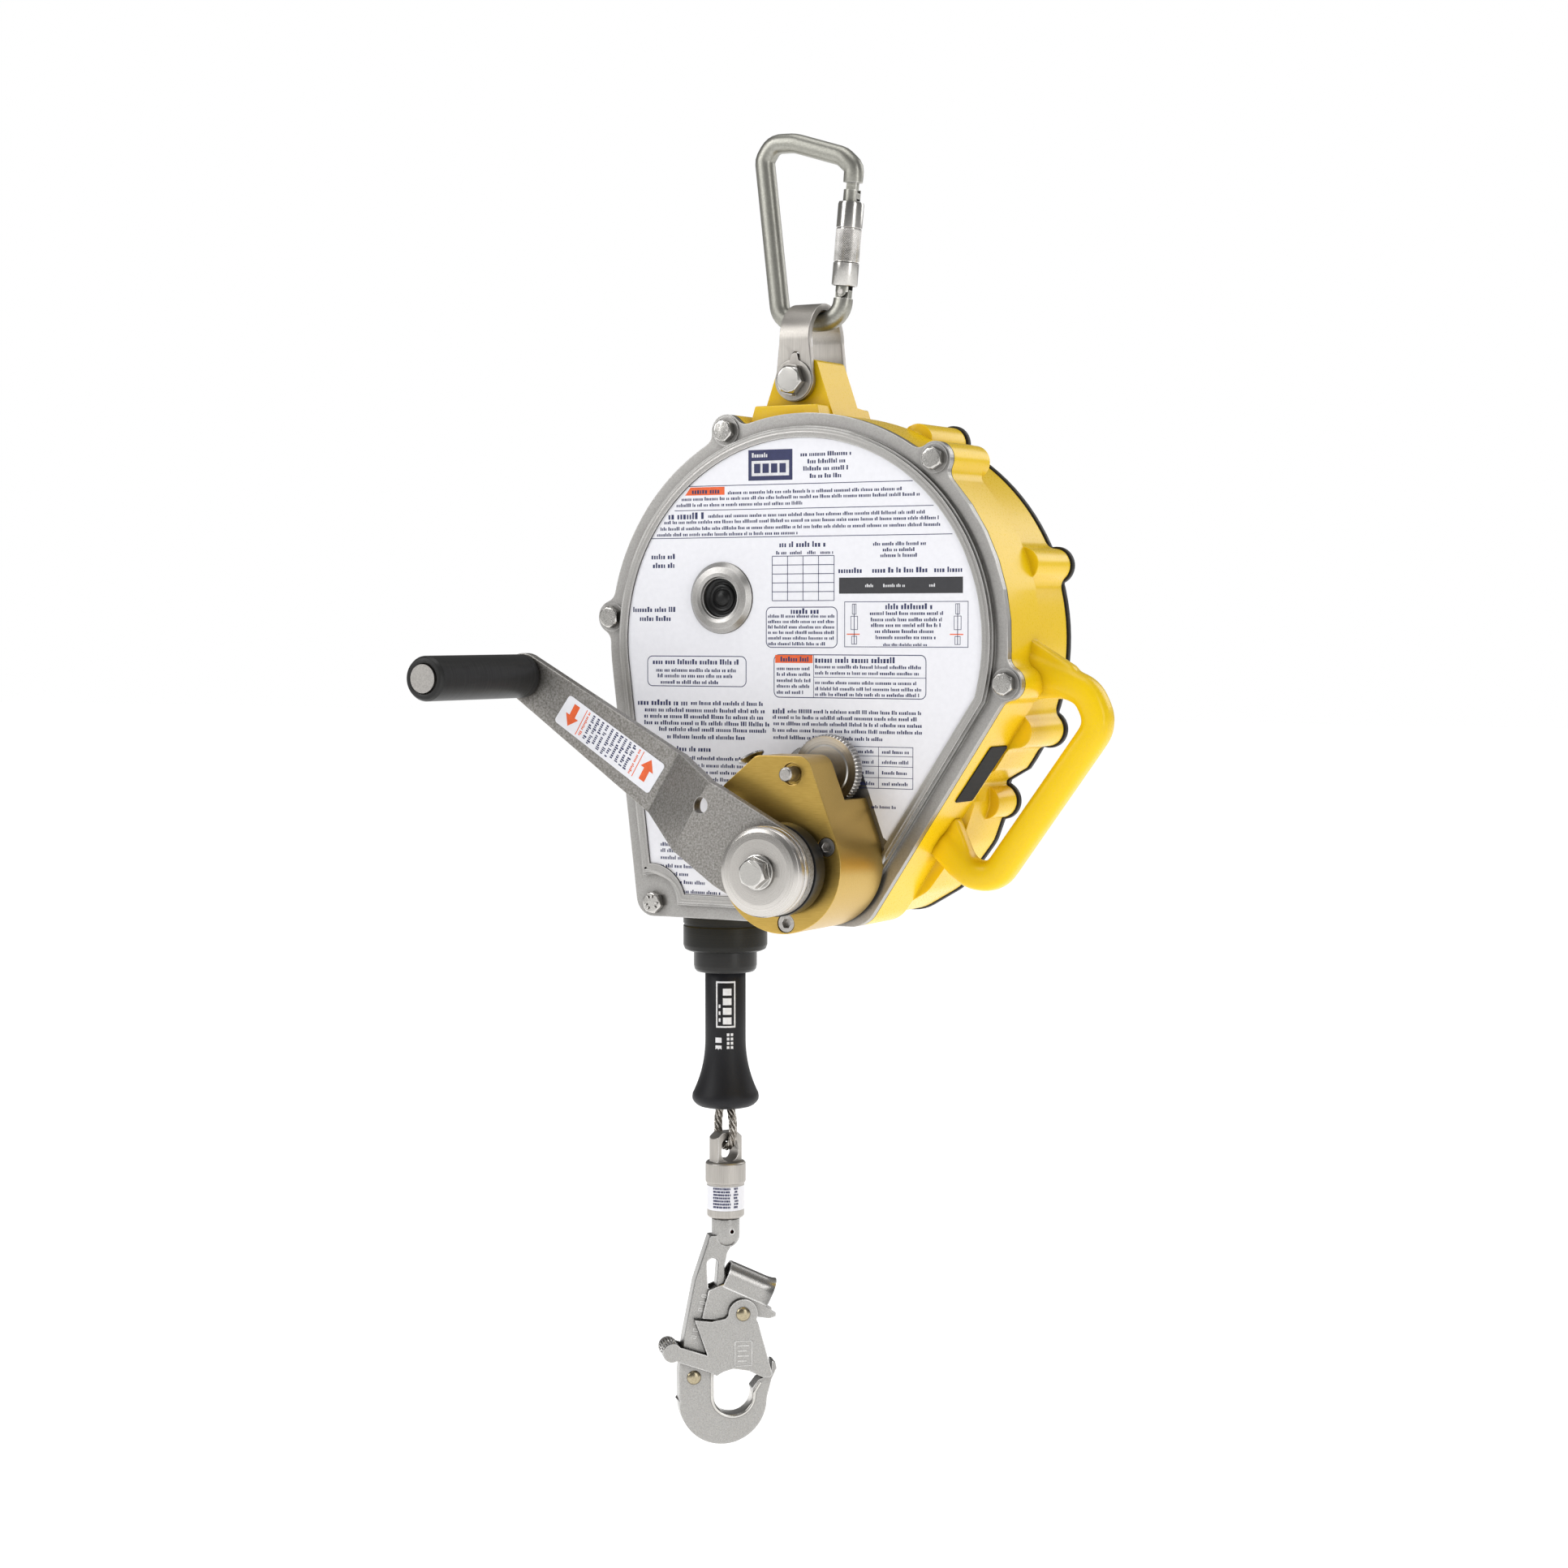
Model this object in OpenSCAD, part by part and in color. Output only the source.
// Self retracting lifeline with a three-way retrieval winch.
// Frame: origin where the anchor bears inside the top bow of the carabiner, +Z up,
// -Y out of the label cover, drum axle along Y. Millimetres.

/* [Housing] */
// Radius of the round part of the housing at the cover flange
case_r = 125.4; // [124:0.2:127]
// Distance from the drum axis down to the flat bottom of the housing
case_bottom = 158.4; // [157:0.2:160]
// Distance from the drum axis to the slanted lower right side
case_slant = 120.2; // [119:0.2:121]
// Radius of the rear half of the shell
rear_r = 121.6; // [121:0.2:122.5]
// Shell wall thickness
wall = 6; // [5:0.5:7]
// Front face of the cover flange, measured from the rope plane
flange_y = -43; // [-43.5:0.5:-42]
// Plane where the cover meets the shell
split_y = -38; // [-38.5:0.5:-37.5]
// Plane where the rear cover gasket starts
rear_y = 44; // [43:0.5:45]
// Radius of a bolt ear
ear_r = 9.4; // [9:0.2:10]
// Fillet between a bolt ear and the outline
ear_fillet = 7; // [5:0.5:9]

/* [Lifeline] */
// Diameter of the wire rope
rope_d = 5; // [4.8:0.1:5.2]
// Distance from the drum axis to the rope's own line, and radius of the outer layer
rope_x = 74.5; // [74:0.5:75]
// Outer diameter of the rope nozzle
nozzle_d = 49; // [46:1:50]
// Height of the rope nozzle below the housing
nozzle_h = 22.4; // [20:0.2:24]
// Diameter of the rubber line stop
stop_d = 36.8; // [35:0.2:37.4]
// Diameter of the hand grip at its waist
grip_d = 23.6; // [22:0.2:25]
// Diameter of the flared lower end of the hand grip
flare_d = 38.4; // [36:0.2:40]

/* [Carabiner] */
// Diameter of the carabiner bar
bar_d = 11; // [10.5:0.1:11.2]
// Diameter of the locking sleeve
sleeve_d = 19; // [18:0.5:20]
// Length of the locking sleeve
sleeve_len = 46.8; // [44:0.2:46.8]

/* [Winch] */
// Gear module of the drum gear and its pinion
gear_m = 2; // [2:2]
// Teeth on the drum gear
drum_teeth = 104; // [104:104]
// Teeth on the crank pinion
pinion_teeth = 20; // [20:20]
// Sideways distance from the drum axis to the crank axis
crank_x = 20; // [20:20]
// Height of the gearbox block above the cover
block_h = 50; // [49:0.5:51]
// Distance from the crank axis to the grip axis
crank_len = 197.3; // [190:0.1:200]
// Direction of the crank arm from the +X axis
crank_dir = 148.9; // [147:0.1:151]
// Diameter of the crank grip
crank_grip_d = 24.6; // [24:0.2:26]
// Length of the crank grip
crank_grip_len = 95; // [84:1:98]
// Radius of the steel hub cap
hub_r = 24.4; // [24:0.2:25]

/* [Hook] */
// Turn of the snap hook about the swivel
hook_turn = 40; // [0:5:60]
// Thickness of the forged hook body
hook_t = 11; // [10.5:0.1:11]
// Diameter of the swivel barrel
barrel_d = 23.6; // [23:0.2:25]

/* [Hidden] */
$fn = 64;

drum_x = 27;
drum_z = -274.4;
tiny = 0.05;

// ---------- helpers ----------
module at_drum() { translate([drum_x, 0, drum_z]) children(); }
// cylinder along Y from y0 to y1
module ycyl(d, y0, y1) { translate([0, y0, 0]) rotate([-90, 0, 0]) cylinder(d = d, h = y1 - y0); }
// a flat X-Z outline made thick from y0 to y1
module slab(y0, y1) { translate([0, y1, 0]) rotate([90, 0, 0]) linear_extrude(y1 - y0) children(); }
// a body of revolution about an axis along Y; the profile's second number runs along +Y
module yturn() { rotate([-90, 0, 0]) rotate_extrude() children(); }
module zturn() { rotate_extrude() children(); }
module xz(p) { translate([p[0], 0, p[1]]) children(); }
function unit(v) = v / norm(v);
function polar(r, a) = [r * cos(a), r * sin(a)];
function perp(v) = [-v[1], v[0]];
// where two lines n.p = d meet
function meet(n1, d1, n2, d2) = let (k = n1[0] * n2[1] - n1[1] * n2[0])
    [(d1 * n2[1] - d2 * n1[1]) / k, (n1[0] * d2 - n2[0] * d1) / k];

// points round part of a circle
function arc(c, r, start, sweep, n) = [for (i = [0:n]) c + polar(r, start + sweep * i / n)];
// polygon p with its corners rounded to radii r
module round_poly(p, r) {
    n = len(p);
    polygon([for (i = [0:n-1]) let (a = unit(p[(i + n - 1) % n] - p[i]), b = unit(p[(i + 1) % n] - p[i]),
        half = acos(min(1, max(-1, a * b))) / 2, c = p[i] + unit(a + b) * r[i] / sin(half),
        s = p[i] + a * r[i] / tan(half) - c, e = p[i] + b * r[i] / tan(half) - c,
        turn = (180 - 2 * half) * (s[0] * e[1] - s[1] * e[0] > 0 ? 1 : -1), m = ceil(abs(turn) / 9))
        each (r[i] == 0 ? [p[i]] : [for (k = [0:m]) c + rot2(s, turn * k / m)])]);
}

// points along a line through p, its inner corners rounded to radii r
function rounded(p, r, step) = let (n = len(p)) concat([p[0]], [for (i = [1:n-2]) let (
    a = unit(p[i-1] - p[i]), b = unit(p[i+1] - p[i]), half = acos(min(1, max(-1, a * b))) / 2,
    c = p[i] + unit(a + b) * r[i-1] / sin(half), s = p[i] + a * r[i-1] / tan(half) - c,
    e = p[i] + b * r[i-1] / tan(half) - c, turn = (180 - 2 * half) * (s[0] * e[1] - s[1] * e[0] > 0 ? 1 : -1),
    m = max(2, ceil(abs(turn) / step))) each [for (k = [0:m]) c + rot2(s, turn * k / m)]], [p[n-1]]);
// a bar w wide in the X-Z plane and t thick along Y, swept along the points p
module swept_bar(p, w, t, sides) {
    n = len(p);
    dir = [for (i = [0:n-1]) unit(p[min(n - 1, i + 1)] - p[max(0, i - 1)])];
    polyhedron(
        points = [for (i = [0:n-1]) for (k = [0:sides-1]) let (a = 360 * k / sides)
            [p[i][0] - dir[i][1] * cos(a) * w / 2, -sin(a) * t / 2, p[i][1] + dir[i][0] * cos(a) * w / 2]],
        faces = concat([[for (k = [0:sides-1]) k]], [[for (k = [sides-1:-1:0]) (n - 1) * sides + k]],
            [for (i = [0:n-2]) for (k = [0:sides-1]) each [
                [i * sides + k, (i + 1) * sides + k, (i + 1) * sides + (k + 1) % sides],
                [i * sides + k, (i + 1) * sides + (k + 1) % sides, i * sides + (k + 1) % sides]]]));
}

module hex_bolt(af, head_h, d, length) {   // head face towards -Y, under the head at y = 0
    union() {
        ycyl(d, 0, length);
        intersection() {
            rotate([90, 0, 0]) cylinder(d = af / cos(30), h = head_h, $fn = 6);
            yturn() polygon([[0, -head_h], [af * 0.47, -head_h], [af * 0.62, -head_h * 0.72], [af * 0.62, 0], [0, 0]]);
        }
        ycyl(af * 0.98, -0.6, 0);
    }
}

// ---------- housing outlines (X, Z about the drum axis) ----------
left_n = polar(1, 186.9);
down_n = [0, -1];
slant_n = polar(1, -33.45);
front_bolts = [polar(126.5, 112.6), polar(127.6, 50.3), polar(124.8, 174.1), polar(126.2, -10.6)];
corner_bolt = [-96.1, -150.4];
rear_bolt_angles = [-24.5, 20, 66, 112, 160];
rear_bolts = [for (a = rear_bolt_angles) polar(121.5, a)];
rear_low_bolts = [[82, -91.5], [-102, -148]];

// corner of radius r between two sides whose outward normals point to angles a and b
function corner(a, da, b, db, r) = arc(meet(polar(1, a), da - r, polar(1, b), db - r), r, a, b - a, 8);
function low_corners(o) = concat(corner(186.9, case_r - o, 270, case_bottom - o, max(2, 11 - o)),
    corner(270, case_bottom - o, 326.55, case_slant - o, max(3, 16 - o)));
function cut_angle(o) = -33.45 + acos((case_slant - o) / (case_r - o));
module outline(o) { polygon(concat(arc([0, 0], case_r - o, cut_angle(o), 186.9 - cut_angle(o), 72), low_corners(o))); }

// points of a bolt ear at c on a circle of radius big, with a fillet each side
function ear_spread(c, big) = let (near = big + ear_fillet, far = ear_r + ear_fillet, d = norm(c))
    acos((near * near - far * far + d * d) / (2 * d * near));
function dir_to(a, b) = atan2(b[1] - a[1], b[0] - a[0]);
function wrap(a, low) = a < low ? wrap(a + 360, low) : (a >= low + 360 ? wrap(a - 360, low) : a);
function ear_between(f1, start, c, f2, end) = let (e1 = dir_to(f1, c), e2 = dir_to(c, f2)) concat(
    arc(f1, ear_fillet, start, wrap(e1 - start, -360), 5),
    arc(c, ear_r, e1 + 180, wrap(e2 - e1 - 180, 0), 16),
    arc(f2, ear_fillet, e2 + 180, wrap(end - e2 - 180, -360), 5));
function ear_points(c, big) = let (a = atan2(c[1], c[0]), t = ear_spread(c, big), near = big + ear_fillet)
    ear_between(polar(near, a - t), a - t + 180, c, polar(near, a + t), a + t + 180);
// a circle of radius big from angle a0 to a1 with ears at the points c, in order
function eared_arc(big, a0, a1, c) = let (n = len(c),
    lo = [for (p = c) atan2(p[1], p[0]) - ear_spread(p, big)], hi = [for (p = c) atan2(p[1], p[0]) + ear_spread(p, big)])
    concat(arc([0, 0], big, a0, lo[0] - a0, 6), [for (i = [0:n-1]) each concat(ear_points(c[i], big),
        let (next = i == n - 1 ? a1 : lo[i + 1]) arc([0, 0], big, hi[i], next - hi[i], 18))]);
// the right ear runs straight into the slanted side
side_ear = front_bolts[3];
slant_dir = [-slant_n[1], slant_n[0]];
side_fillet = slant_n * (case_slant + ear_fillet) + slant_dir * (side_ear * slant_dir
    - sqrt(pow(ear_r + ear_fillet, 2) - pow(case_slant + ear_fillet - side_ear * slant_n, 2)));
side_a = atan2(side_ear[1], side_ear[0]) + ear_spread(side_ear, case_r);
module front_shape() {
    polygon(concat(
        ear_between(side_fillet, 146.55, side_ear, polar(case_r + ear_fillet, side_a), side_a + 180),
        eared_arc(case_r, side_a + 1, 186.9, [front_bolts[1], front_bolts[0], front_bolts[2]]),
        low_corners(0)));
}
rear_low = [[85, -79.5], [85.5, -92], [77.5, -114], [57, -141], [32, -155.4], [-104.4, -155.4]];
function pull_in(p, o) = p * (1 - o / norm(p));
function rear_rest(o) = rounded(concat([polar(rear_r - o, 186.9)], [pull_in(meet(left_n, rear_r, down_n, 155.4), o)],
    [for (i = [4:-1:0]) pull_in(rear_low[i], o)], [polar(rear_r - o, -36.5)]), [max(3, 11 - o), 24, 20, 20, 8, 3], 9);
module rear_plain(o) { polygon(concat(arc([0, 0], rear_r - o, -36.5, 223.4, 72), rear_rest(o))); }
module rear_eared() {
    polygon(concat(eared_arc(rear_r, -36.5, 186.9, rear_bolts), rear_rest(0)));
}
module bolt_holes(points, d, y0, y1) { for (p = points) xz(p) ycyl(d, y0, y1); }

// ---------- housing ----------
lug = [-17.2, 145.5];
lug_t = 33;

module lug_shape(low) {
    round_poly([lug + [-28, low - lug[1]], lug + [28, low - lug[1]], lug + [11.5, 11.6], lug + [-11.5, 11.6]], [0, 0, 3, 3]);
}
module housing_shell() at_drum() color("gold") difference() {
    union() {
        slab(split_y, 0) front_shape();
        slab(0, rear_y) rear_eared();
        for (p = rear_low_bolts) xz(p) ycyl(2 * ear_r, 20, rear_y);
        // the front bolt bosses run a little past the step
        for (p = [front_bolts[1], front_bolts[0], front_bolts[2]]) xz(p) ycyl(2 * ear_r - 0.3, 0, 8);
        slab(-lug_t / 2, lug_t / 2) lug_shape(110);
        slab(-31, 31) intersection() {
            lug_shape(105);
            translate([-60, 100]) square([90, 31]);
        }
    }
    // drum chamber, open at the front, with a post left for the corner bolt
    difference() {
        union() {
            slab(-4, 38) intersection() {
                rear_plain(wall);
                outline(wall + 1);
            }
            slab(split_y - 1, -4) outline(wall + 1);
        }
        xz(corner_bolt) ycyl(19, -60, -2);
    }
    // opening in the back wall for the spring arbor
    ycyl(120, 30, rear_y + 1);
    // rope exit in the bottom wall
    translate([-rope_x, 0, -case_bottom - 1]) cylinder(d = 30, h = 14);
    xz(lug) ycyl(14, -40, 40);
    bolt_holes(front_bolts, 6.6, split_y - 1, -12);
    bolt_holes([corner_bolt], 6.6, split_y - 1, -12);
    bolt_holes(concat(rear_bolts, rear_low_bolts), 5.2, rear_y - 20, rear_y + 1);
}

// centre line of the carrying handle, from its upper root round to its lower root
handle_path = rounded([[107, -8], [157, -28], [165, -45], [102.5, -130.5], [88, -129.5], [69, -112]],
    [14, 14, 12, 14], 12);
module grab_handle() at_drum() color("gold") union() {
    translate([0, -8, 0]) swept_bar(handle_path, 17, 17, 16);
    slab(-13, -3) polygon([[113, 8], [121, 3], [150, -14.5], [143, -31.8], [122, -31.9], [112, -20]]);
    slab(-13, -3) polygon([[66, -118], [78, -132.6], [90, -122], [79.6, -98], [76, -100]]);
}

module cover_gasket() at_drum() color("dimgray") difference() {
    slab(split_y - 0.8, split_y) front_shape();
    slab(split_y - 2, split_y + 1) outline(wall + 1);
    bolt_holes(concat(front_bolts, [corner_bolt]), 6.8, split_y - 2, split_y + 1);
}

crank_z = -sqrt(pow(gear_m * (drum_teeth + pinion_teeth) / 2, 2) - crank_x * crank_x);
crank_c = [crank_x, crank_z];
pinion_pocket_d = 46.6;
block_c = [15.4, -121.5];
block_r = 36.9;
stub_c = [22.6, -71.6];
block_y = -46 - block_h;

module block_outline(o) {
    union() {
        translate(block_c) circle(r = block_r + o, $fn = 96);
        round_poly([[-20.3 - o, -121.5], [49 + o, -121.5], [50.6 + o, -110], [32.2 + o, -62 + o], [0.5 - o * 0.5, -62 + o],
            [-20.3 - o, -79 + o]], [0, 0, 12, 8, 6, 3]);
    }
}
module inner_edge(o) { // the ridge steps in round the corner bolt
    difference() {
        outline(o);
        translate(corner_bolt) circle(r = o + 9);
    }
}
cover_face = -46;
module front_cover() at_drum() color("silver") difference() {
    union() {
        slab(flange_y, split_y - 0.8) front_shape();
        slab(cover_face, flange_y) inner_edge(7.5);
        slab(-47.4, cover_face) difference() {
            inner_edge(8.8);
            inner_edge(13.6);
        }
        // ring round the rope access port
        xz(port) yturn() polygon([[0, cover_face], [19.8, cover_face], [19.8, -47], [17.4, -49.4], [14, -50], [12, -49.4], [11.4, -48], [0, -48]]);
        for (p = front_bolts) xz(p) ycyl(2 * ear_r - 2.4, flange_y - 0.8, flange_y);
    }
    slab(-48, cover_face) block_outline(2);
    xz(crank_c) ycyl(pinion_pocket_d, -60, -30);
    ycyl(20.05, -42.5, -30);
    xz(port) ycyl(22, -60, -30);
    bolt_holes(concat(front_bolts, [corner_bolt]), 6.6, -60, -30);
    bolt_holes(block_screws, 5.6, -60, -30);
}
port = [-49.8, 23.4];
block_screws = [[43.4, -110.4], [18.8, -152.4], [-11, -99]];

module cover_label() at_drum() color("white") difference() {
    slab(cover_face - 0.25, cover_face) inner_edge(13.8);
    slab(-47, -44) block_outline(2.4);
    slab(-47, -44) polygon([[45, -120], [52.6, -108], [140, -190], [-10, -190], [10, -155]]);
    xz(port) ycyl(40.4, -48, -44);
}
module cover_bolts() at_drum() color("silver") {
    for (p = front_bolts) xz(p) translate([0, flange_y - 0.8, 0]) rotate([0, p[0] * 7, 0]) hex_bolt(11.1, 4.6, 6.35, 26);
    xz(corner_bolt) translate([0, flange_y, 0]) rotate([0, 17, 0]) hex_bolt(11.1, 4.6, 6.35, 26);
}
module access_plug() at_drum() color("black") xz(port) yturn() polygon([[0, -45], [4.4, -45], [5.2, -44.3],
    [6, -43.2], [9.6, -43.2], [11, -44.6], [11, -38.4], [12.4, -37.4], [12.4, -35.9], [0, -35.9]]);

module rear_gasket() at_drum() color("black") difference() {
    union() {
        slab(rear_y, rear_y + 0.8) rear_eared();
        for (p = rear_low_bolts) xz(p) ycyl(2 * ear_r, rear_y, rear_y + 0.8);
    }
    ycyl(160, rear_y - 1, rear_y + 2);
    bolt_holes(concat(rear_bolts, rear_low_bolts), 5.4, rear_y - 1, rear_y + 2);
}
dome_r = 84;
module rear_cover() at_drum() color("dimgray") difference() {
    union() {
        slab(rear_y + 0.8, rear_y + 4.2) rear_plain(-1);
        for (p = concat(rear_bolts, rear_low_bolts)) xz(p) ycyl(2 * ear_r + 2.4, rear_y + 0.8, rear_y + 4.2);
        yturn() polygon([[0, rear_y + 4], [dome_r, rear_y + 4], [dome_r - 2, 57], [dome_r - 6, 60], [0, 60]]);
        for (k = [0:7]) rotate([0, k * 45 + 22, 0]) translate([dome_r - 6, rear_y + 4, -2]) cube([24, 5, 4]);
        yturn() polygon([[0, 59], [26, 59], [24, 62], [0, 62]]);
    }
    ycyl(2 * dome_r - 10, rear_y, 56.5);
    bolt_holes(concat(rear_bolts, rear_low_bolts), 5.4, rear_y - 1, rear_y + 8);
}
module rear_bolts() at_drum() color("silver")
    for (p = concat(rear_bolts, rear_low_bolts)) xz(p) translate([0, rear_y + 4.2, 0]) rotate([0, 0, 180]) hex_bolt(8, 3.6, 5, 20);
// flat tag on the slanted side of the shell
tag_u = perp(slant_n);
module side_tag() at_drum() color("black") translate([slant_n[0] * case_slant, -11, slant_n[1] * case_slant])
    rotate([0, 33.45, 0]) translate([0, 0, -7]) rotate([90, 0, 90]) linear_extrude(0.8)
        round_poly([[-15, -20], [7.4, -20], [10.4, 17], [-12, 17]], [2, 2, 2, 2]);

// ---------- drum and brake ----------
module lug_bush() at_drum() color("silver") xz(lug) difference() { ycyl(14, -lug_t / 2, lug_t / 2); ycyl(9.6, -40, 40); }

module drum_axle() at_drum() color("silver") union() {
    ycyl(20, -42.4, 54);
    ycyl(30, 54, 56.4);
}
drum_core = 40;
module rope_drum() at_drum() color("silver") difference() {
    union() {
        ycyl(2 * drum_core, -20, 20);
        ycyl(184, -23, -20);
        ycyl(184, 20, 23);
        ycyl(40, 23, 53.6);
        ycyl(44, -26, -20);
    }
    ycyl(26, -40, 60);
    for (k = [0:5]) rotate([0, k * 60, 0]) translate([30, 0, 0]) ycyl(9, -30, 20 - 6);
    translate([0, 0, 0]) for (k = [0:7]) rotate([0, k * 45 + 10, 0]) translate([84, 0, 0]) ycyl(6, -30, 30);
}
module drum_bushes() at_drum() color("tan") for (y = [[-26, -8], [35.6, 53.6]]) difference() {
    ycyl(26, y[0], y[1]);
    ycyl(20.06, y[0] - 1, y[1] + 1);
}
module wound_line() at_drum() color("lightgray") difference() {
    union() {
        ycyl(2 * (rope_x - 0.9), -19.8, 19.8);
        for (k = [0:7]) yturn() translate([rope_x, -17.4 + 4.97 * k]) circle(d = rope_d + 0.2);
    }
    ycyl(2 * drum_core, -30, 30);
}
// involute spur gear, drawn in the X-Z plane
function inv_point(rb, t) = [rb * (cos(t) + t * PI / 180 * sin(t)), rb * (sin(t) - t * PI / 180 * cos(t))];
function gear_points(m, z, shrink) = let (
    rp = m * z / 2, rb = rp * cos(20), ra = rp + m, rr = rp - 1.25 * m,
    t_p = sqrt(pow(rp / rb, 2) - 1) * 180 / PI, inv_p = t_p - acos(rb / rp),
    t_a = sqrt(pow(ra / rb, 2) - 1) * 180 / PI,
    t_0 = rr > rb ? sqrt(pow(rr / rb, 2) - 1) * 180 / PI : 0,
    half = 90 / z - shrink / rp * 180 / PI)
    [for (k = [0:z-1]) for (side = [1, -1]) for (i = [0:4])
        let (j = side > 0 ? i : 4 - i, t = t_0 + (t_a - t_0) * j / 4, p = inv_point(rb, t),
            r = norm(p), a = atan2(p[1], p[0]) - inv_p - half, q = polar(r, side > 0 ? a : -a),
            root = polar(rr, side > 0 ? atan2(inv_point(rb, t_0)[1], inv_point(rb, t_0)[0]) - inv_p - half
                : inv_p + half - atan2(inv_point(rb, t_0)[1], inv_point(rb, t_0)[0])))
        each (j == 0 && rr < rb ? (side > 0 ? [rot2(root, k * 360 / z), rot2(q, k * 360 / z)]
            : [rot2(q, k * 360 / z), rot2(root, k * 360 / z)]) : [rot2(q, k * 360 / z)])];
function rot2(p, a) = [p[0] * cos(a) - p[1] * sin(a), p[0] * sin(a) + p[1] * cos(a)];
mesh_dir = atan2(crank_z, crank_x);
gear_play = 0.12;

module drum_gear() at_drum() color("darkgray") difference() {
    slab(-33, -23) rotate(mesh_dir) polygon(gear_points(gear_m, drum_teeth, gear_play));
    ycyl(180, -40, -28);
    ycyl(44, -40, -20);
    for (k = [0:7]) rotate([0, k * 45 + 10, 0]) translate([60, 0, 0]) ycyl(22, -40, -10);
}
module crank_pinion() at_drum() color("silver") xz(crank_c) difference() {
    slab(-34, -24) rotate(mesh_dir + 180 + 180 / pinion_teeth) polygon(gear_points(gear_m, pinion_teeth, gear_play));
    ycyl(14, -40, -20);
}

ratchet_teeth = 12;
module ratchet_ring() at_drum() color("darkgray") difference() {
    ycyl(146, 27, 35);
    slab(26, 36) union() {
        circle(r = 56, $fn = 96);
        for (k = [0:ratchet_teeth-1]) rotate(k * 360 / ratchet_teeth) polygon([[50, 0], polar(63, 0), polar(55, 22), polar(50, 22)]);
    }
}
module brake_linings() at_drum() color("tan") for (y = [[25, 27], [35, 38]]) difference() {
    ycyl(144, y[0], y[1]);
    ycyl(130, 20, 40);
}
pawl_angles = [30, 210];
module pawl() {
    difference() {
        union() {
            ycyl(13, 27, 34);
            slab(27, 34) polygon([[-2, -6.4], [4, -5.5], [9, 16], [11.2, 21], [7, 22.5], [-3, 16], [-6.4, 1]]);
        }
        ycyl(6.1, 20, 40);
    }
}
pawl_r = 38;
module place_pawl(k) { rotate([0, -pawl_angles[k], 0]) translate([pawl_r, 0, 0]) children(); }
module pawl_a() at_drum() color("silver") place_pawl(0) pawl();
module pawl_b() at_drum() color("silver") place_pawl(1) pawl();
module pawl_pivots() at_drum() color("dimgray") for (k = [0, 1]) place_pawl(k) union() {
    ycyl(6, 23, 34.4);
    ycyl(10, 34.4, 35.6);
}
spring_turns = 8;
module main_spring() at_drum() color("dimgray") slab(45.5, 53.5) polygon(concat(
    [for (i = [0:spring_turns*20]) polar(20.4 + 6.2 * i / 20, i * 18)],
    [for (i = [spring_turns*20:-1:0]) polar(21.8 + 6.2 * i / 20, i * 18)]));

// ---------- anchor strap ----------
strap_w = 19;
strap_t = 4;
strap_gap = 35;
bar_low = 176.5;
crown_z = 168.2;
module strap_leg_shape() { union() {
    translate(lug) circle(r = 12);
    round_poly([lug + [-11.6, 2], lug + [11.6, 2], [lug[0] + strap_w / 2, crown_z], [lug[0] - strap_w / 2, crown_z]], [0, 0, 0, 0]);
} }
module anchor_strap() at_drum() color("silver") difference() {
    union() {
        for (y = [-strap_gap / 2 - strap_t, strap_gap / 2]) slab(y, y + strap_t) strap_leg_shape();
        translate([lug[0] - strap_w / 2, 0, crown_z]) rotate([90, 0, 90])
            rotate_extrude_half(strap_gap / 2, strap_t, strap_w);
    }
    xz(lug) ycyl(9.6, -40, 40);
    xz(lug + [1, 13.6]) ycyl(4.6, -40, 0);
}
// half a tube standing on the X axis, bore radius r, wall t, length w along Z
module rotate_extrude_half(r, t, w) {
    intersection() {
        difference() {
            cylinder(r = r + t, h = w, $fn = 96);
            translate([0, 0, -1]) cylinder(r = r, h = w + 2, $fn = 96);
        }
        translate([-100, 0, -1]) cube([200, 100, w + 2]);
    }
}
module anchor_bolt() at_drum() color("silver") xz(lug) translate([0, -strap_gap / 2 - strap_t - 1.2, 0])
    rotate([0, 10, 0]) hex_bolt(14.3, 6, 9.5, 52);
module anchor_nut() at_drum() color("silver") xz(lug) difference() {
    translate([0, strap_gap / 2 + strap_t + 8, 0]) rotate([90, 0, 0]) cylinder(d = 14.3 / cos(30), h = 8, $fn = 6);
    ycyl(9.5, 0, 60);
}
module lock_tab() at_drum() color("silver") translate([0, -strap_gap / 2 - strap_t, 0]) union() {
    difference() {
        xz(lug) ycyl(23, -1.2, 0);
        xz(lug) ycyl(9.6, -3, 3);
    }
    xz(lug) rotate([0, 100, 0]) for (s = [-1, 1]) translate([s * 8 - 0.6, -5.4, -3.2]) cube([1.2, 5.4, 6.4]);
    slab(-1.2, 0) polygon([lug + [-3, 9], lug + [4, 9], lug + [2.6, 14.6], lug + [-0.6, 14.6]]);
    xz(lug + [1, 13.4]) ycyl(3.6, -1, 2.6);
}

// ---------- carabiner ----------
gate_foot = [3.1, 195.4];
gate_dir = unit([5.4, 57]);
gate_len = 57;
gate_tilt = atan2(gate_dir[0], gate_dir[1]);
nose_root = gate_foot + gate_dir * 63.5;
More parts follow.
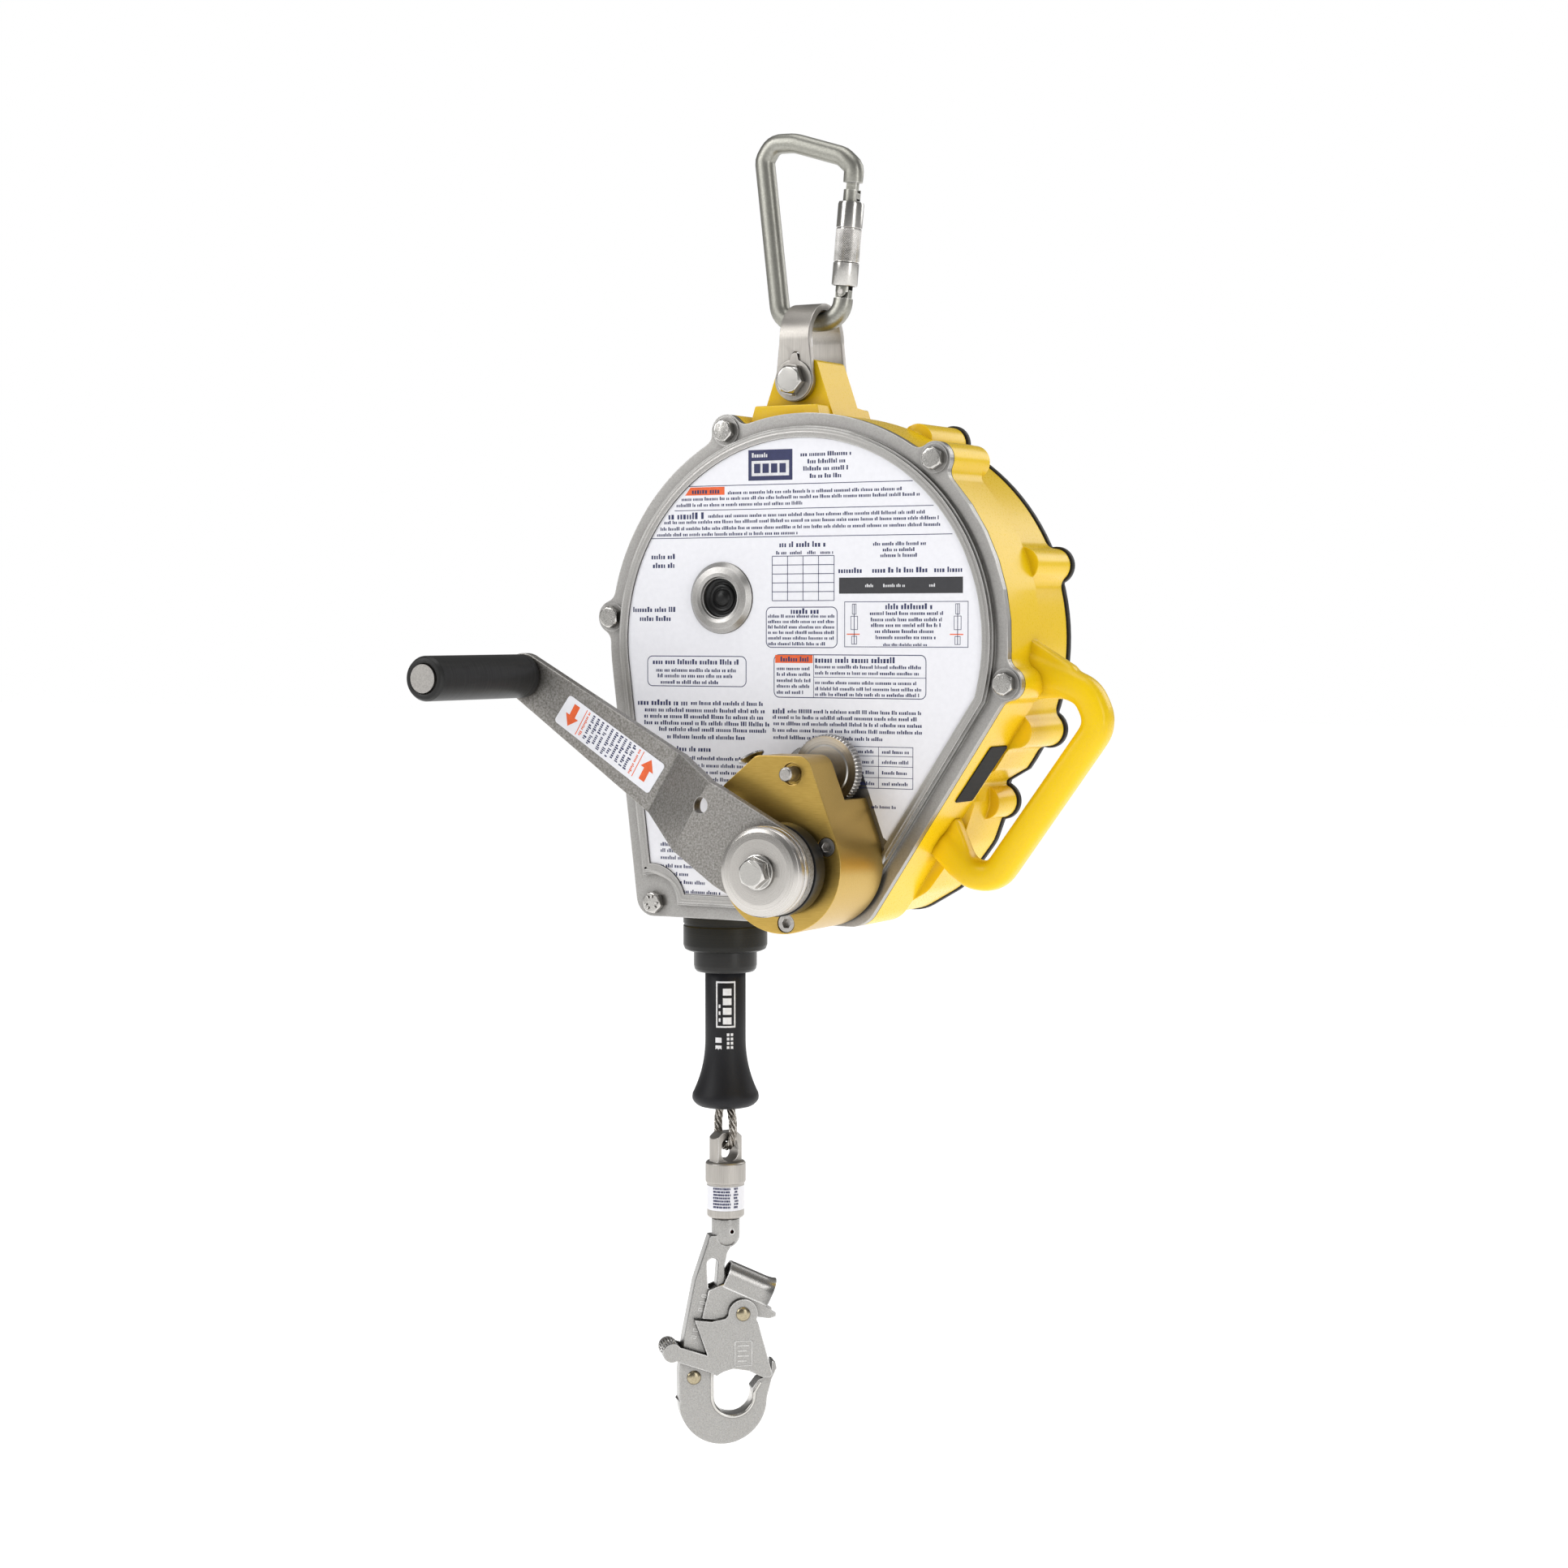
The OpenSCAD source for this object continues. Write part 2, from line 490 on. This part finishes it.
// local Z runs up the gate from its pivot
module on_gate() { at_drum() xz(gate_foot) rotate([0, gate_tilt, 0]) children(); }
carabiner_path = rounded([gate_foot + gate_dir * -3.4, gate_foot + gate_dir * -11, [-6, 179.6], [-29, 179.6],
    [-37.6, 184], [-47.9, 272.5], [-42, 281.5], [-28, 281], [2.5, 271.4], nose_root + gate_dir * 6, nose_root + gate_dir * -2.4],
    [12, 14, 9, 10, 6, 9, 18, 10, 5], 14);
module carabiner_frame() color("lightgray") union() {
    at_drum() swept_bar(carabiner_path, bar_d, bar_d, 16);
    on_gate() difference() {
        translate([-4.2, -2.2, -6]) cube([8.4, 4.4, 9]);
        rotate([90, 0, 0]) cylinder(d = 3.8, h = 20, center = true);
    }
    on_gate() translate([-3.2, -1.8, gate_len - 5]) cube([6.4, 3.6, 10]);
    on_gate() translate([-4.2, -1.8, gate_len - 5]) cube([8.4, 3.6, 3.2]);
}
module carabiner_gate() color("silver") on_gate() difference() {
    union() {
        cylinder(d = 9.6, h = gate_len);
        intersection() {
            translate([0, 0, -4]) cylinder(d = 9.6, h = 5);
            rotate([90, 0, 0]) cylinder(d = 6, h = 12, center = true);
        }
    }
    translate([-10, -2.6, -4]) cube([20, 5.2, 8.6]);
    translate([-10, -2.2, gate_len - 6]) cube([20, 4.4, 10]);
    rotate([90, 0, 0]) cylinder(d = 3.1, h = 20, center = true);
}
module gate_pivot_pin() color("gray") on_gate() rotate([90, 0, 0]) cylinder(d = 3.05, h = 9, center = true);
module locking_sleeve() color("silver") on_gate() difference() {
    translate([0, 0, 3.5]) cylinder(d = sleeve_d, h = sleeve_len);
    cylinder(d = 9.8, h = 100);
    translate([0, 0, 3]) cylinder(d = 15, h = 6);
    for (a = [0:90:270]) rotate([0, 0, a + 45]) translate([3, -3.4, 3]) cube([20, 6.8, 4]);
}

// ---------- gearbox and crank ----------
module gearbox_block() at_drum() color("goldenrod") difference() {
    slab(block_y, cover_face) block_outline(0);
    // slot for the thumb wheel
    slab(block_y + 25, cover_face + 1) translate([-30, -86.4]) square([100, 60]);
    xz(stub_c) ycyl(42, block_y + 25, cover_face + 1);
    xz(crank_c) ycyl(30.1, block_y - 1, cover_face + 1);
    xz(stub_c) ycyl(12, block_y - 1, block_y + 2.4);
    xz(stub_c) ycyl(8.1, block_y - 1, block_y + 26);
    for (p = block_screws) xz(p) {
        ycyl(10.4, block_y - 1, block_y + 6.6);
        ycyl(5.6, block_y, 0);
    }
    on_knob() cylinder(d = 6.1, h = 70);
}
module gearbox_screws() at_drum() color("gray") for (p = block_screws) xz(p) difference() {
    union() {
        ycyl(10, block_y + 0.6, block_y + 6.6);
        ycyl(5.4, block_y + 6, -39);
    }
    translate([0, block_y + 4, 0]) rotate([90, 0, 0]) cylinder(d = 5.4, h = 10, $fn = 6);
}
knob_u = unit([-12.3, -62.4] - crank_c);
knob_tilt = atan2(knob_u[0], knob_u[1]);
knob_y = -80;
module on_knob() { xz(crank_c) translate([0, knob_y, 0]) rotate([0, knob_tilt, 0]) children(); }
module shift_knob() at_drum() color("silver") on_knob() zturn() polygon([[0, 12.4], [2, 12.4], [3, 13.4], [3, 61.4], [3.4, 62.6],
    [4.6, 64.2], [7, 65.7], [7.6, 66.2], [7.6, 67], [6.8, 67.4], [0, 67.4]]);
module shift_sleeve() at_drum() color("tan") xz(crank_c) difference() {
    ycyl(30, -93, -62);
    ycyl(16.06, -100, -50);
    rotate([0, knob_tilt, 0]) translate([-3.2, -83.4, 11.9]) cube([6.4, 17.4, 10]);
}
module crank_shaft() at_drum() color("silver") xz(crank_c) difference() {
    union() {
        ycyl(16, -116.5, -34);
        ycyl(14, -36, -23.4);
        ycyl(24, -98, -93.1);
        ycyl(24, -61.9, -58.5);
    }
    ycyl(9.5, -118, -92);
}
module brake_disc() at_drum() color("black") xz(crank_c) difference() {
    ycyl(2 * hub_r + 1.6, -110.4, -100);
    ycyl(16.02, -120, -90);
}
arm_t = 6;
arm_front = -116.6;
jog = 18;
jog_from = 56;
jog_to = 88;
arm_top = [[0, -24.4], [49, -21.6], [90, -17.4], [crank_len, -12.9]];
arm_bottom = [[crank_len, 13.1], [90, 21.2], [56, 23.8], [25, 26], [0, 24.4]];
// local X runs from the crank axis to the grip axis
module on_arm() { at_drum() xz(crank_c) rotate([0, -crank_dir, 0]) children(); }
module crank_arm() color("darkgray") on_arm() difference() {
    intersection() {
        slab(-130, -80) union() {
            circle(r = hub_r);
            polygon(concat(arm_top, arm_bottom));
            translate([crank_len, 0.1]) circle(r = 13);
        }
        translate([0, 0, -40]) linear_extrude(80) polygon([[-40, arm_front], [jog_from, arm_front], [jog_to, arm_front + jog],
            [crank_len + 40, arm_front + jog], [crank_len + 40, arm_front + jog + arm_t], [jog_to - 2, arm_front + jog + arm_t],
            [jog_from - 2, arm_front + arm_t], [-40, arm_front + arm_t]]);
    }
    ycyl(16.02, -130, -80);
    translate([53.8, 0, -6.9]) ycyl(8.6, -130, -80);
    translate([crank_len, 0, 0]) ycyl(9.5, -130, -80);
}
module crank_label() color("white") on_arm() slab(arm_front + jog - 0.2, arm_front + jog)
    round_poly([[92, -7.2], [165, -7.6], [166.6, 10.4], [93.4, 12.4]], [2, 2, 2, 2]);
module hub_cap() at_drum() color("silver") xz(crank_c) difference() {
    yturn() polygon([[0, -128], [hub_r - 3, -128], [hub_r - 0.9, -127.1], [hub_r, -125], [hub_r, -116.6], [0, -116.6]]);
    ycyl(9.6, -130, -110);
}
module hub_bolt() at_drum() color("silver") xz(crank_c) union() {
    difference() { ycyl(19, -129.8, -128); ycyl(9.5, -140, -120); }
    translate([0, -129.8, 0]) rotate([0, 20, 0]) hex_bolt(14.3, 6.4, 9.5, 36);
}
grip_y0 = arm_front + jog;
module grip_axle() color("silver") on_arm() translate([crank_len, 0, 0]) union() {
    ycyl(9.5, grip_y0 - crank_grip_len, grip_y0 + arm_t);
    ycyl(15, grip_y0 + arm_t, grip_y0 + arm_t + 2);
    ycyl(15.6, grip_y0 - crank_grip_len - 0.9, grip_y0 - crank_grip_len + 2.2);
}
module crank_grip() color("black") on_arm() translate([crank_len, 0, 0]) difference() {
    yturn() polygon([[0, grip_y0 - crank_grip_len], [crank_grip_d / 2 - 1.6, grip_y0 - crank_grip_len],
        [crank_grip_d / 2, grip_y0 - crank_grip_len + 1.6], [crank_grip_d / 2, grip_y0 - 1.6],
        [crank_grip_d / 2 - 1.2, grip_y0 - 0.3], [0, grip_y0 - 0.3]]);
    ycyl(9.6, -250, 0);
    ycyl(16.4, -250, grip_y0 - crank_grip_len + 2.6);
}
module lock_screw() at_drum() color("silver") xz(stub_c) union() {
    yturn() polygon([[0, block_y - 8], [3.2, block_y - 8], [4, block_y - 7.2], [4, -51.2], [0, -51.2]]);
}
module thumb_wheel() at_drum() color("silver") xz(stub_c) difference() {
    yturn() polygon([[0, -59], [18.6, -59], [20, -57.8], [20, -52.2], [18.6, -51], [0, -51]]);
    ycyl(8.1, -70, -50);
}

// ---------- lifeline ----------
module on_rope() { at_drum() translate([-rope_x, 0, 0]) children(); }
nozzle_low = -case_bottom - nozzle_h;
stop_low = nozzle_low - 12.2;
grip_low = -272.6;
module rope_nozzle() color("dimgray") on_rope() difference() {
    zturn() polygon([[0, -case_bottom + 9], [14.9, -case_bottom + 9], [14.9, -case_bottom], [nozzle_d / 2, -case_bottom],
        [nozzle_d / 2, nozzle_low + 4], [nozzle_d / 2 - 1.2, nozzle_low + 1.2], [nozzle_d / 2 - 4, nozzle_low], [0, nozzle_low]]);
    translate([0, 0, nozzle_low - 1]) cylinder(d = stop_d + 1, h = 13);
    translate([0, 0, -200]) cylinder(d = 9, h = 100);
}
module line_stop() color("black") on_rope() difference() {
    zturn() polygon([[0, nozzle_low + 11.4], [stop_d / 2 - 2, nozzle_low + 11.4], [stop_d / 2, nozzle_low + 9.4],
        [stop_d / 2, stop_low + 1.6], [stop_d / 2 - 1.6, stop_low], [0, stop_low]]);
    translate([0, 0, -250]) cylinder(d = rope_d + 0.1, h = 100);
}
module line_grip() color("black") on_rope() difference() {
    zturn() polygon(concat([[0, stop_low], [grip_d / 2, stop_low]],
        [for (i = [0:12]) let (t = i / 12) [grip_d / 2 + (flare_d - grip_d) / 2 * pow(t, 2.2), grip_low + 41 - 33 * t]],
        [[flare_d / 2 + 0.3, grip_low + 6], [flare_d / 2 - 0.8, grip_low + 3], [flare_d / 2 - 4, grip_low + 0.6],
        [flare_d / 2 - 8, grip_low], [0, grip_low]]));
    translate([0, 0, -300]) cylinder(d = rope_d + 0.1, h = 200);
    translate([0, 0, grip_low - 1]) cylinder(d = 14, h = 46);
    translate([0, 0, grip_low - 1]) cylinder(d1 = 27, d2 = 14, h = 18);
}
loop_turn = -26;
loop_r = 7.6;
loop_z = -288.6;
ferrule_low = grip_low + 12;
module line_loop() color("lightgray") on_rope() rotate([0, 0, loop_turn]) swept_bar(rounded([[-2.7, ferrule_low],
    [-2.7, ferrule_low - 2], [-loop_r, grip_low - 8], [-loop_r, loop_z - loop_r], [loop_r, loop_z - loop_r],
    [loop_r, grip_low - 8], [2.7, ferrule_low - 2], [2.7, ferrule_low]], [5, 10, loop_r - 0.2, loop_r - 0.2, 10, 5], 20),
    rope_d, rope_d, 12);
module line_ferrule() color("gray") on_rope() rotate([0, 0, loop_turn]) difference() {
    slab(-4.4, 4.4) round_poly([[-5.3, ferrule_low], [5.3, ferrule_low], [5.3, ferrule_low + 24], [-5.3, ferrule_low + 24]], [1.4, 1.4, 3, 3]);
    cylinder(d = 0.1, h = 0.1);
}
module line_run() color("lightgray") on_rope() translate([0, 0, ferrule_low + 24]) cylinder(d = rope_d, h = -29 - ferrule_low - 24);

// ---------- swivel ----------
eye_top = -287.4;
barrel_top = -304.6;
barrel_low = -337.6;
module swivel_eye() color("silver") on_rope() rotate([0, 0, loop_turn]) difference() {
    union() {
        intersection() {
            translate([0, 0, barrel_top - 1]) cylinder(d = 19, h = eye_top - barrel_top + 1);
            translate([-4.6, -20, barrel_top - 1]) cube([9.2, 40, 40]);
            rotate([90, 0, 90]) translate([0, 0, -20]) linear_extrude(40) polygon([[-10, barrel_top - 2], [10, barrel_top - 2],
                [10, eye_top - 4], [5, eye_top], [-5, eye_top], [-10, eye_top - 4]]);
        }
        zturn() polygon([[0, barrel_top], [barrel_d / 2 - 1, barrel_top], [barrel_d / 2, barrel_top - 1], [barrel_d / 2, barrel_top - 12],
            [barrel_d / 2 - 0.9, barrel_top - 13], [barrel_d / 2 - 0.9, barrel_low + 1], [barrel_d / 2 - 1.9, barrel_low], [0, barrel_low]]);
    }
    translate([-20, 0, -299]) rotate([0, 90, 0]) cylinder(d = 11.6, h = 40);
    // flare for the bend of the rope, round the line it swings about
    translate([0, 0, loop_z - loop_r]) rotate([0, 90, 0]) zturn() polygon([[0, -5], [6.15, -5], [6.05, -4.6], [4.4, -2.6], [3.3, -1.2], [3.05, 0],
        [3.3, 1.2], [4.4, 2.6], [6.05, 4.6], [6.15, 5], [0, 5]]);
    translate([0, 0, barrel_low - 1]) cylinder(d = 17.2, h = 26);
}
module swivel_label() color("white") on_rope() difference() {
    translate([0, 0, barrel_low + 5]) cylinder(d = barrel_d - 1.4, h = 14);
    translate([0, 0, barrel_low]) cylinder(d = barrel_d - 1.8, h = 30);
}
stem_low = -347;
module indicator_stem() color("red") on_rope() union() {
    translate([0, 0, barrel_low + 6]) cylinder(d = 17, h = 18.5);
    translate([0, 0, barrel_low]) cylinder(d = 12, h = 6.2);
    translate([0, 0, stem_low]) cylinder(d = 8, h = 12);
}

// ---------- snap hook; local X to the nose side, Z up, turned about the rope line ----------
module on_hook() { on_rope() rotate([0, 0, hook_turn]) children(); }
rivet_1 = [8.6, -393.7];
rivet_2 = [-19.8, -431];
roller_c = [-33.2, -415];
module hook_outline() difference() {
    union() {
        translate([-2.4, -445.4]) circle(r = 26);
        polygon([[-28.4, -445], [-28.7, -428], [-25.8, -407], [-19.3, -374], [-10.4, -348], [6, -348], [0, -358], [-1.6, -366], [-0.6, -378], [3.4, -388],
            [14, -399], [4, -401], [-7.4, -404], [-8.4, -445]]);
        translate([8.6, -393.7]) circle(r = 8);
        polygon([[15, -445], [23.6, -445], [26.4, -434], [29.6, -428], [28.6, -423.6], [26.6, -423], [26.2, -430.6], [18.4, -434.4]]);
    }
    translate([3.4, -442.6]) circle(r = 11.7);
    polygon([[-8.3, -443], [-8.3, -404], [8, -403], [30, -403], [26.2, -424], [26.2, -430.8], [18.4, -434.2], [14.6, -439]]);
    // slot beside the spine
    translate([-8.6, -364.6]) circle(r = 3.4);
    polygon([[-12, -365], [-5.3, -365], [-6.4, -379], [-8.6, -380.4], [-11.4, -379]]);
}
module hook_body() color("silver") on_hook() difference() {
    union() {
        slab(-hook_t / 2, hook_t / 2) hook_outline();
        translate([0, 0, -348]) cylinder(d = 16.6, h = 348 + barrel_low - 0.2);
        translate([0, 0, -348]) sphere(d = 16.6);
    }
    translate([0, 0, stem_low]) cylinder(d = 8.04, h = 20);
    translate([2.4, 0, -345.4]) rotate([90, 0, 0]) cylinder(d = 2.4, h = 8.5 );
    xz(rivet_1) ycyl(5.1, -20, 20);
    xz(rivet_2) ycyl(5.0, -20, 20);
}
gate_t = 2;
gate_y = 8;
module gate_plate() difference() {
    union() {
        polygon([[-20, -396.2], [-10, -397.4], [-2, -396], [3, -391], [8.6, -385], [14, -391], [17.7, -399.6], [26.1, -430.2],
            [24.4, -432], [20.8, -431.9], [12, -427.6], [2.6, -425.9], [-3, -427.4], [-7, -429.7], [-12, -427], [-30, -420.6],
            [-33, -410.4], [-12.6, -417.3]]);
        translate(rivet_1) circle(r = 8.7);
        translate(roller_c) circle(r = 5.6);
    }
    translate(rivet_1) circle(d = 5.1);
}
module hook_gate() color("lightgray") on_hook() union() {
    for (s = [-1, 1]) slab(s * (gate_y + gate_t / 2) - gate_t / 2, s * (gate_y + gate_t / 2) + gate_t / 2) gate_plate();
    slab(-gate_y - tiny, gate_y + tiny) polygon([[16.3, -404], [18.5, -404], [25.9, -430], [23.7, -430.6]]);
    xz(roller_c) ycyl(4, -gate_y - 1, gate_y + 1);
}
module gate_roller() color("silver") on_hook() xz(roller_c) union() {
    difference() { ycyl(11, -gate_y + 0.3, gate_y - 0.3); ycyl(4.1, -20, 20); }
}
lever_y = 5.7;
module lock_lever() color("silver") on_hook() difference() {
    union() {
        for (s = [-1, 1]) slab(s * (lever_y + 0.9) - 0.9, s * (lever_y + 0.9) + 0.9) union() {
            polygon([[-11.4, -379.4], [-1, -364.4], [1, -363.6], [24, -374.4], [27.2, -380], [22.8, -390.6], [26, -395], [25, -397.4],
                [16, -396], [8.6, -402], [2, -398], [-15.4, -396]]);
            translate(rivet_1) circle(r = 7.6);
        }
        // rolled thumb rest
        xz([14.2, -378.4]) slab(-7.4, 7.4) {
            polygon([[-11.8, 12.2], [-11, 14.8], [9.8, 4], [13, -1.6], [8.7, -12.2], [6.8, -11.2], [10.4, -1.8], [8.2, 2.2]]);
        }
    }
    xz(rivet_1) ycyl(5.1, -20, 20);
}
module hook_rivets() color("gray") on_hook() {
    xz(rivet_1) union() {
        ycyl(5, -10.4, 10.4);
        for (s = [-1, 1]) ycyl(8.4, s > 0 ? 10.2 : -11.6, s > 0 ? 11.6 : -10.2);
    }
    xz(rivet_2) union() {
        ycyl(5, -6, 6);
        for (s = [-1, 1]) ycyl(8.4, s > 0 ? 5.5 : -6.9, s > 0 ? 6.9 : -5.5);
    }
}

carabiner_frame();
carabiner_gate();
gate_pivot_pin();
locking_sleeve();
anchor_strap();
anchor_bolt();
anchor_nut();
lock_tab();
lug_bush();
housing_shell();
grab_handle();
front_cover();
cover_gasket();
cover_label();
cover_bolts();
access_plug();
rear_cover();
rear_gasket();
rear_bolts();
side_tag();
drum_axle();
rope_drum();
wound_line();
drum_gear();
drum_bushes();
ratchet_ring();
brake_linings();
pawl_a();
pawl_b();
pawl_pivots();
main_spring();
gearbox_block();
gearbox_screws();
shift_sleeve();
shift_knob();
crank_shaft();
crank_pinion();
brake_disc();
crank_arm();
crank_label();
hub_cap();
hub_bolt();
grip_axle();
crank_grip();
lock_screw();
thumb_wheel();
rope_nozzle();
line_stop();
line_grip();
line_run();
line_loop();
line_ferrule();
swivel_eye();
swivel_label();
indicator_stem();
hook_body();
hook_gate();
gate_roller();
lock_lever();
hook_rivets();
